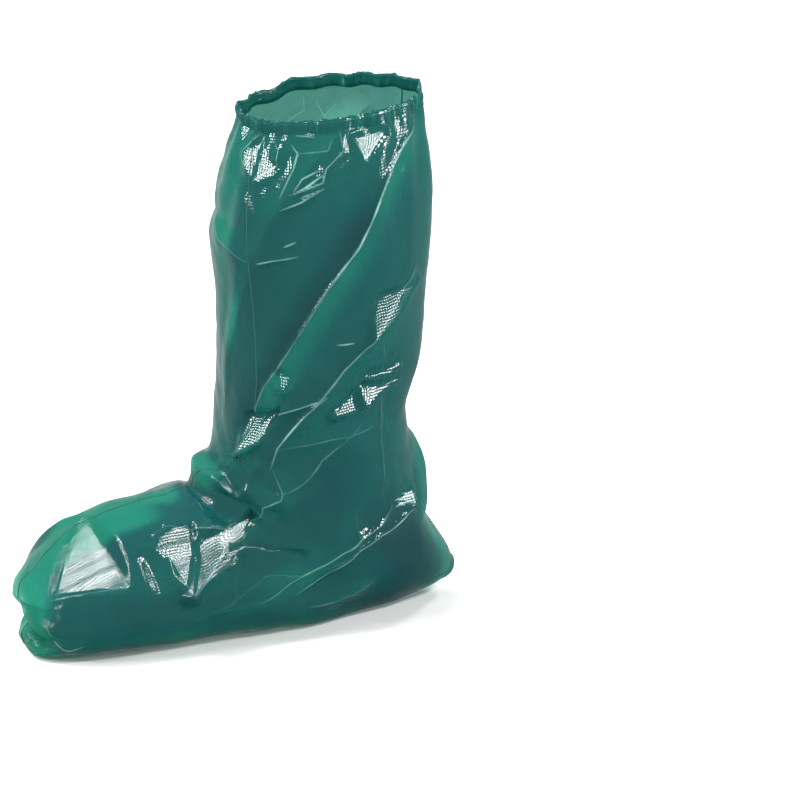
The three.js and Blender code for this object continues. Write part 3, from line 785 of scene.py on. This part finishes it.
def film_material(name, deep, mid, free_colour, opacity, see_through):
    """Glossy translucent film with an embossed diamond pattern; painted shade is deep, painted back-light
    paler and clearer.
    """
    material, wire = new_material(name)
    # painted light of the mesh: low is painted shade, high is painted back-light
    free = wire.node("ShaderNodeAttribute", {"attribute_name": "free"}, {}, "Fac")
    place = wire.node("ShaderNodeTexCoord", {}, {}, "Object")
    noise = {"Vector": place, "Scale": CLOUD_SCALE, "Detail": CLOUD_DETAIL}
    cloud = wire.node("ShaderNodeTexNoise", {}, noise, "Fac")
    depth = free + (cloud - CLOUD_MIDDLE) * CLOUD_CHANGE
    smooth_colour = (2 * depth - 1).mix((2 * depth).mix(deep, mid), free_colour)
    # painted crease lines mixed into the colour: whitened film and painted glint
    colour = crease_whitening_and_glint(wire, place).mix(smooth_colour, CREASE_WHITE_AND_GLINT)
    gloss = wire.node("ShaderNodeBsdfPrincipled", {}, {
        "Base Color": colour, "Roughness": FILM_ROUGH + cloud * ROUGH_CHANGE, "Normal": emboss(wire),
        "IOR": FILM_IOR, "Specular IOR Level": FILM_SPECULAR,
    })
    clear = wire.node("ShaderNodeBsdfTransparent", {}, {"Color": FILM_TINT})
    both = wire.node("ShaderNodeMixShader", {}, {0: opacity - see_through * free, 1: clear, 2: gloss})
    wire.node("ShaderNodeOutputMaterial", {}, {"Surface": both})
    return material


film = film_material("green_film", FILM_DEEP, FILM_MID, FILM_BACKLIT, FILM_OPACITY, FILM_SEE_THROUGH)
print(film.name, "nodes", len(film.node_tree.nodes))

# %% [markdown]
# ## Two film panels
# Each panel is one sheet, cut to the boot outline and joined to the other along its edge. A sheet of
# film is so thin that a single layer of faces is the honest mesh: it has an inside and an outside and
# no wall to model. Rows are spread evenly along the cover, so the faces stay small where the folds are
# sharp.

# %% Panels
PANEL_ROWS = 420
PANEL_COLUMNS = 215
SPACING_SAMPLES = 1500
SPACING_ANGLES = (45, 90, 135, 170)
PAINTED_LIGHT_LIMITS = (-0.2, 1.0)


def even_places(count):
    """Places along the cover, evenly spread by the length of the film between the sections."""
    fine = np.linspace(0, LAST, SPACING_SAMPLES)
    length = np.zeros(len(fine))
    for angle in SPACING_ANGLES:
        step = np.linalg.norm(np.diff(form_point(fine, angle), axis=0), axis=1)
        length[1:] += np.cumsum(step)
    return np.interp(np.linspace(0, length[-1], count), length, fine)


def film_panel(name, start_angle, material):
    """One film panel, half way round from the front weld to the back weld."""
    places = even_places(PANEL_ROWS)[:, None]
    spread = np.linspace(0, 180, PANEL_COLUMNS)[None]
    angles = along("seam", places) + start_angle + spread
    places = np.broadcast_to(places, angles.shape)
    points, marks = film_point(places, angles)
    piece = mesh_object(name, points, grid_faces(PANEL_ROWS, PANEL_COLUMNS), material)
    # painted back-light and shade of the film, with the pleats' painted bands, stored for the finish
    set_values(piece, "free", np.clip(free_film(places, angles) + marks.pop("band"), *PAINTED_LIGHT_LIMITS))
    for mark, values in marks.items():
        set_values(piece, mark, values)
    set_cut(piece, points)
    piece.data.validate()
    return piece


for panel_name, node, start_angle in (("left_film_panel", "left_panel", 0),
                                      ("right_film_panel", "right_panel", 180)):
    panel = film_panel(panel_name, start_angle, film)
    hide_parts(node)
    print(panel.name, "faces", len(panel.data.polygons), "area", round(area_of(panel), 4))

# %% [markdown]
# ## Weld lines
# The weld is a thin bead where the two films are fused and cut in one stroke. A curve with a bevel
# would do; sweeping a small ring along the panels' own edge keeps the bead on the folded film at every
# point.

# %% Weld beads
WELD_WIDTH = 1.1
WELD_HEIGHT = 0.9
WELD_SIDES = 8
WELD_DEEP = (0.02, 0.10, 0.085, 1)
# pale weld colour for painted back-light; the beads store no painted light, so they stay deep
WELD_BACKLIT = (0.03, 0.20, 0.15, 1)
WELD_OPACITY, WELD_SEE_THROUGH = 0.9, 0.2
WELD_COLUMNS = ("node", "edge_angle", "start", "end", "count")
WELD_START = 0.02
WELD_GAP = 0.005
TIP_GAP = 0.3
WELDS = [
    ("front_weld", 0, WELD_START, LAST - TIP_GAP, 500),
    ("back_weld", 180, WELD_START, PLACE["heel"] - WELD_GAP, 400),
    ("sole_weld", 180, PLACE["heel"] + WELD_GAP, LAST - TIP_GAP, 300),
]


def unit(vectors):
    """Vectors of length 1."""
    return vectors / np.linalg.norm(vectors, axis=-1, keepdims=True)


def weld_bead(weld, material):
    """Bead along an edge of the panels, between two places."""
    count = weld["count"]
    places = np.linspace(weld["start"], weld["end"], count)
    angles = along("seam", places) + weld["edge_angle"]
    line, _ = film_point(places, angles)
    tangent = unit(np.gradient(line, axis=0))
    across = unit(np.cross(tangent, normal_of(form_point, places, angles)))
    up = np.cross(across, tangent)
    turn = np.linspace(0, 2 * np.pi, WELD_SIDES, endpoint=False)
    ring = (across[:, None] * (0.5 * WELD_WIDTH * np.cos(turn))[None, :, None]
            + up[:, None] * (0.5 * WELD_HEIGHT * np.sin(turn))[None, :, None])
    faces = [face[::-1] for face in grid_faces(count, WELD_SIDES, closed=True)]
    faces.append(list(range(WELD_SIDES)))
    faces.append(list(range(count * WELD_SIDES - 1, (count - 1) * WELD_SIDES - 1, -1)))
    return mesh_object(weld["node"] + "_bead", line[:, None] + ring, faces, material)


weld_film = film_material("weld_film", WELD_DEEP, WELD_DEEP, WELD_BACKLIT, WELD_OPACITY, WELD_SEE_THROUGH)
for weld in named_rows(WELD_COLUMNS, WELDS):
    bead = weld_bead(weld, weld_film)
    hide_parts(weld["node"])
    print(bead.name, "faces", len(bead.data.polygons))

# %% [markdown]
# ## Gathered hem
# The top edge is folded inwards over the elastic and welded, so it is a soft casing, which the elastic
# pulls into many small ruffles. A cloth simulation could gather it; a strip whose outline is carried
# round the opening, with narrow seeded pleats added, gives the same ruffles and stays the same in each
# run.

# %% Ring of the opening and its ruffles
RUFFLE_SEED = 5
RUFFLE_COUNT = 72
RUFFLE_JITTER = 0.45
RUFFLE_HEIGHTS = (0.2, 1.5)
RUFFLE_WIDTHS = (0.7, 2.0)
RUFFLE_MIDDLE = 0.5


def opening_ring(count):
    """Points of the panels' top edge, with the directions out of and up from the opening."""
    angles = np.linspace(0, 360, count, endpoint=False)
    points, _ = film_point(np.zeros(count), angles)
    turn = math.radians(COLUMN["turn"][0])
    up = np.array([0.0, math.sin(turn), math.cos(turn)])
    out = normal_of(form_point, np.zeros(count), angles)
    return angles, points, unit(out - (out @ up)[:, None] * up), up


def ruffle(angles):
    """Narrow seeded pleats round the opening, in millimetres."""
    draw = np.random.default_rng(RUFFLE_SEED)
    jitter = draw.uniform(-RUFFLE_JITTER, RUFFLE_JITTER, RUFFLE_COUNT)
    spots = (np.arange(RUFFLE_COUNT) + jitter) * 360 / RUFFLE_COUNT
    heights = draw.uniform(*RUFFLE_HEIGHTS, RUFFLE_COUNT)
    widths = draw.uniform(*RUFFLE_WIDTHS, RUFFLE_COUNT)
    away = np.mod(np.asarray(angles)[:, None] - spots + 180, 360) - 180
    return np.sum(heights * np.exp(-(away / widths) ** 2), axis=1) - RUFFLE_MIDDLE


print("ruffles round the opening:", RUFFLE_COUNT)

# %% Hem
HEM_PROFILE = [
    (0.1, -2.4), (0.7, -2.0), (0.7, -1.4), (0.3, -0.8), (0.4, 2.0), (0.5, 5.0), (0.2, 7.6), (-0.4, 8.8),
    (-1.2, 8.9), (-1.9, 7.8), (-2.2, 5.0), (-2.1, 2.0), (-1.8, -1.6),
]
HEM_COLUMNS = 900
HEM_PROFILE_STEPS = 40
HEM_STILL, HEM_RISE = -1.5, 6.0
HEM_LIFT = 0.7
HEM_LIFT_SHIFT = 40
# Painted light of the hem: ruffles that stand out are painted paler, ruffles that sink in deeper
HEM_PAINTED_LIGHT, HEM_PAINTED_LIGHT_CHANGE = 0.45, 0.12
HEM_OPACITY, HEM_SEE_THROUGH = 0.92, 0.3


def top_hem(material):
    """Casing round the opening."""
    angles, ring, out, up = opening_ring(HEM_COLUMNS)
    knots = np.array(HEM_PROFILE)
    fine = np.linspace(0, len(knots) - 1, HEM_PROFILE_STEPS)
    profile = np.stack([np.interp(fine, np.arange(len(knots)), knots[:, side]) for side in (0, 1)], -1)
    wave = ruffle(angles)
    lift = HEM_LIFT * ruffle(angles + HEM_LIFT_SHIFT)
    rows = []
    for reach, rise in profile:
        share = np.clip((rise - HEM_STILL) / HEM_RISE, 0, 1)
        rows.append(ring + out * (reach + share * wave)[:, None] + up * (rise + share * lift)[:, None])
    points = np.array(rows)
    faces = [face[::-1] for face in grid_faces(HEM_PROFILE_STEPS, HEM_COLUMNS, closed=True)]
    piece = mesh_object("gathered_hem", points, faces, material)
    # painted light and shade along the ruffles
    set_values(piece, "free", HEM_PAINTED_LIGHT + HEM_PAINTED_LIGHT_CHANGE * np.broadcast_to(wave, points.shape[:2]))
    set_cut(piece, points)
    return piece


hem_film = film_material("hem_film", FILM_DEEP, FILM_MID, FILM_BACKLIT, HEM_OPACITY, HEM_SEE_THROUGH)
hem = top_hem(hem_film)
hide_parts("top_hem")
print(hem.name, "faces", len(hem.data.polygons), "area", round(area_of(hem), 4))

# %% [markdown]
# ## Elastic
# A thin round elastic runs inside the casing and draws it in. It hardly shows, so it is a plain ring of
# rubber that follows the ruffles, with a fine grain in its pale colour. A curve with a bevel would do
# as well.

# %% Elastic in the casing
ELASTIC_RADIUS = 0.7
ELASTIC_INSIDE = -0.9
ELASTIC_RISE = 6.0
ELASTIC_COLUMNS = 360
ELASTIC_SIDES = 10
ELASTIC_LOW = (0.62, 0.68, 0.64, 1)
ELASTIC_HIGH = (0.78, 0.82, 0.79, 1)
ELASTIC_GRAIN, ELASTIC_ROUGH = 900.0, 0.6


def matt_material(name, low, high, scale, roughness):
    """Matt finish whose colour wavers between two tones."""
    material, wire = new_material(name)
    place = wire.node("ShaderNodeTexCoord", {}, {}, "Object")
    cloud = wire.node("ShaderNodeTexNoise", {}, {"Vector": place, "Scale": scale}, "Fac")
    colour = cloud.mix(low, high)
    matt = wire.node("ShaderNodeBsdfPrincipled", {}, {"Base Color": colour, "Roughness": roughness})
    wire.node("ShaderNodeOutputMaterial", {}, {"Surface": matt})
    return material


def elastic_ring(material):
    """Thin round elastic inside the casing."""
    angles, ring, out, up = opening_ring(ELASTIC_COLUMNS)
    turn = np.linspace(0, 2 * np.pi, ELASTIC_SIDES + 1)
    centre = ring + out * (ELASTIC_INSIDE + ruffle(angles))[:, None] + up * ELASTIC_RISE
    points = np.array([centre + ELASTIC_RADIUS * (out * math.sin(t) + up * math.cos(t)) for t in turn])
    faces = grid_faces(ELASTIC_SIDES + 1, ELASTIC_COLUMNS, closed=True)
    return mesh_object("elastic_thread", points, faces, material)


rubber = matt_material("pale_elastic", ELASTIC_LOW, ELASTIC_HIGH, ELASTIC_GRAIN, ELASTIC_ROUGH)
elastic = elastic_ring(rubber)
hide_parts("elastic_cord")
print(elastic.name, "faces", len(elastic.data.polygons))

# %% [markdown]
# ## Studio floor
# The cover stands on a wide pale floor, a large plane whose matt white wavers a little. The film
# reflects a plain glow instead of the floor's own lit patches, so the floor is kept out of glossy
# reflections.

# %% Floor
FLOOR_Z = -ORIGIN[2] * MM
FLOOR_HALF = 8.0
FLOOR_LOW = (0.80, 0.80, 0.80, 1)
FLOOR_HIGH = (0.82, 0.82, 0.82, 1)
FLOOR_CLOUDS, FLOOR_ROUGH = 2.0, 0.9
floor_mesh = bpy.data.meshes.new("floor")
floor_corners = [(-FLOOR_HALF, -FLOOR_HALF, FLOOR_Z), (FLOOR_HALF, -FLOOR_HALF, FLOOR_Z),
                 (FLOOR_HALF, FLOOR_HALF, FLOOR_Z), (-FLOOR_HALF, FLOOR_HALF, FLOOR_Z)]
floor_mesh.from_pydata(floor_corners, [], [(0, 1, 2, 3)])
pale_floor = matt_material("pale_floor", FLOOR_LOW, FLOOR_HIGH, FLOOR_CLOUDS, FLOOR_ROUGH)
floor_mesh.materials.append(pale_floor)
floor = bpy.data.objects.new("floor", floor_mesh)
bpy.context.scene.collection.objects.link(floor)
floor.visible_glossy = False
print("floor at", round(FLOOR_Z, 3), "m")

# %% [markdown]
# ## Lights
# Film shows its shape by its highlights. Five small soft boxes stand round the cover, and each lights
# only the facets that mirror it. Their size and brightness set how hard the highlights are. A wide box
# behind washes the floor white and is kept out of reflections.

# %% Soft boxes
LIGHT_COLUMNS = ("name", "azimuth", "height", "distance", "width", "length", "brightness", "in_gloss")
LIGHTS = [
    ("left_low", 5, 26, 2.2, 0.40, 0.40, 50, True),
    ("right_low", 138, 12, 2.2, 0.40, 0.42, 50, True),
    ("front_box", 117, 44, 2.4, 0.42, 0.42, 70, True),
    ("toe_box", -4, 58, 2.2, 0.42, 0.42, 60, True),
    ("far_box", 212, 32, 2.4, 0.42, 0.42, 45, True),
    ("floor_wash", 285, 50, 3.0, 2.0, 2.0, 9.5, False),
]
AIM = Vector((0, 0, -0.2))


def direction(azimuth, height):
    """Direction from an azimuth, in degrees from -Y towards +X, and a height above the horizon."""
    turn, rise = math.radians(azimuth), math.radians(height)
    return Vector((math.cos(rise) * math.sin(turn), -math.cos(rise) * math.cos(turn), math.sin(rise)))


for light in named_rows(LIGHT_COLUMNS, LIGHTS):
    lamp = bpy.data.lights.new(light["name"], "AREA")
    lamp.shape = "RECTANGLE"
    lamp.size = light["width"]
    lamp.size_y = light["length"]
    lamp.energy = light["brightness"] * math.pi * light["width"] * light["length"]
    towards = direction(light["azimuth"], light["height"])
    box = bpy.data.objects.new(light["name"], lamp)
    box.location = AIM + towards * light["distance"]
    box.rotation_euler = (-towards).to_track_quat("-Z", "Y").to_euler()
    box.visible_glossy = light["in_gloss"]
    bpy.context.scene.collection.objects.link(box)
    print(light["name"], "power", round(lamp.energy, 1), "W")

# %% [markdown]
# ## Glow of the room
# The room is white: a dim glow above, and a floor glow below that is brighter on one side, where the
# backdrop stands. Film that is seen at a flat angle mirrors that side and turns pale, as the front edge
# of the real cover does. A picture of a room could light the scene too, but a few numbers are enough
# for film.

# %% Sky
SKY_ABOVE = 0.32
SKY_BELOW = 0.36
SKY_BACKDROP = 0.50
BACKDROP_AZIMUTH = 275
SKY_UNDER = 0.85  # how much the glow sinks straight below, where the floor is shaded
world = bpy.data.worlds.new("studio")
bpy.context.scene.world = world
world.use_nodes = True
world.node_tree.nodes.clear()
sky = Wire(world.node_tree)
way_to = sky.node("ShaderNodeTexCoord", {}, {}, "Generated")
rise = sky.node("ShaderNodeSeparateXYZ", {}, {0: way_to}, 2)
below = sky.maths("LESS_THAN", rise, 0.0)
backdrop_way = tuple(direction(BACKDROP_AZIMUTH, 0))
facing = sky.node("ShaderNodeVectorMath", {"operation": "DOT_PRODUCT"}, {0: way_to, 1: backdrop_way}, 1)
towards_backdrop = facing * facing.at_least(0.0)
floor_glow = SKY_BELOW + SKY_BACKDROP * towards_backdrop * towards_backdrop
floor_glow = floor_glow * (1 - SKY_UNDER * rise * rise)
glow = SKY_ABOVE + below * (floor_glow - SKY_ABOVE)
background = sky.node("ShaderNodeBackground", {}, {"Color": (1, 1, 1, 1), "Strength": glow})
sky.node("ShaderNodeOutputWorld", {}, {"Surface": background})
print("glow above, below and at the backdrop:", SKY_ABOVE, SKY_BELOW, SKY_BELOW + SKY_BACKDROP)

# %% [markdown]
# ## Camera
# The camera looks at the cover's side from a little towards its toe and from above, through a long
# lens, so the outline is almost free of perspective. Its place was found from the outline and the
# floor's tilt.

# %% Camera
CAMERA_AT = np.array([2567.85, -834.35, 1150.0])
CAMERA_AIM = np.array([20.97, 64.55, 169.47])
LENS = 169.04
SENSOR = 36
camera = bpy.data.cameras.new("camera")
camera.lens = LENS
camera.sensor_width = SENSOR
eye = bpy.data.objects.new("camera", camera)
eye.location = (CAMERA_AT - ORIGIN) * MM
look = Vector((CAMERA_AIM - CAMERA_AT) * MM)
eye.rotation_euler = look.to_track_quat("-Z", "Y").to_euler()
bpy.context.scene.collection.objects.link(eye)
bpy.context.scene.camera = eye
bpy.context.scene.view_settings.view_transform = "Standard"
print("camera distance", round(look.length, 3), "m")

# %% [markdown]
# The dressed model has to stay within the solids' box, apart from a little film that may stand proud.
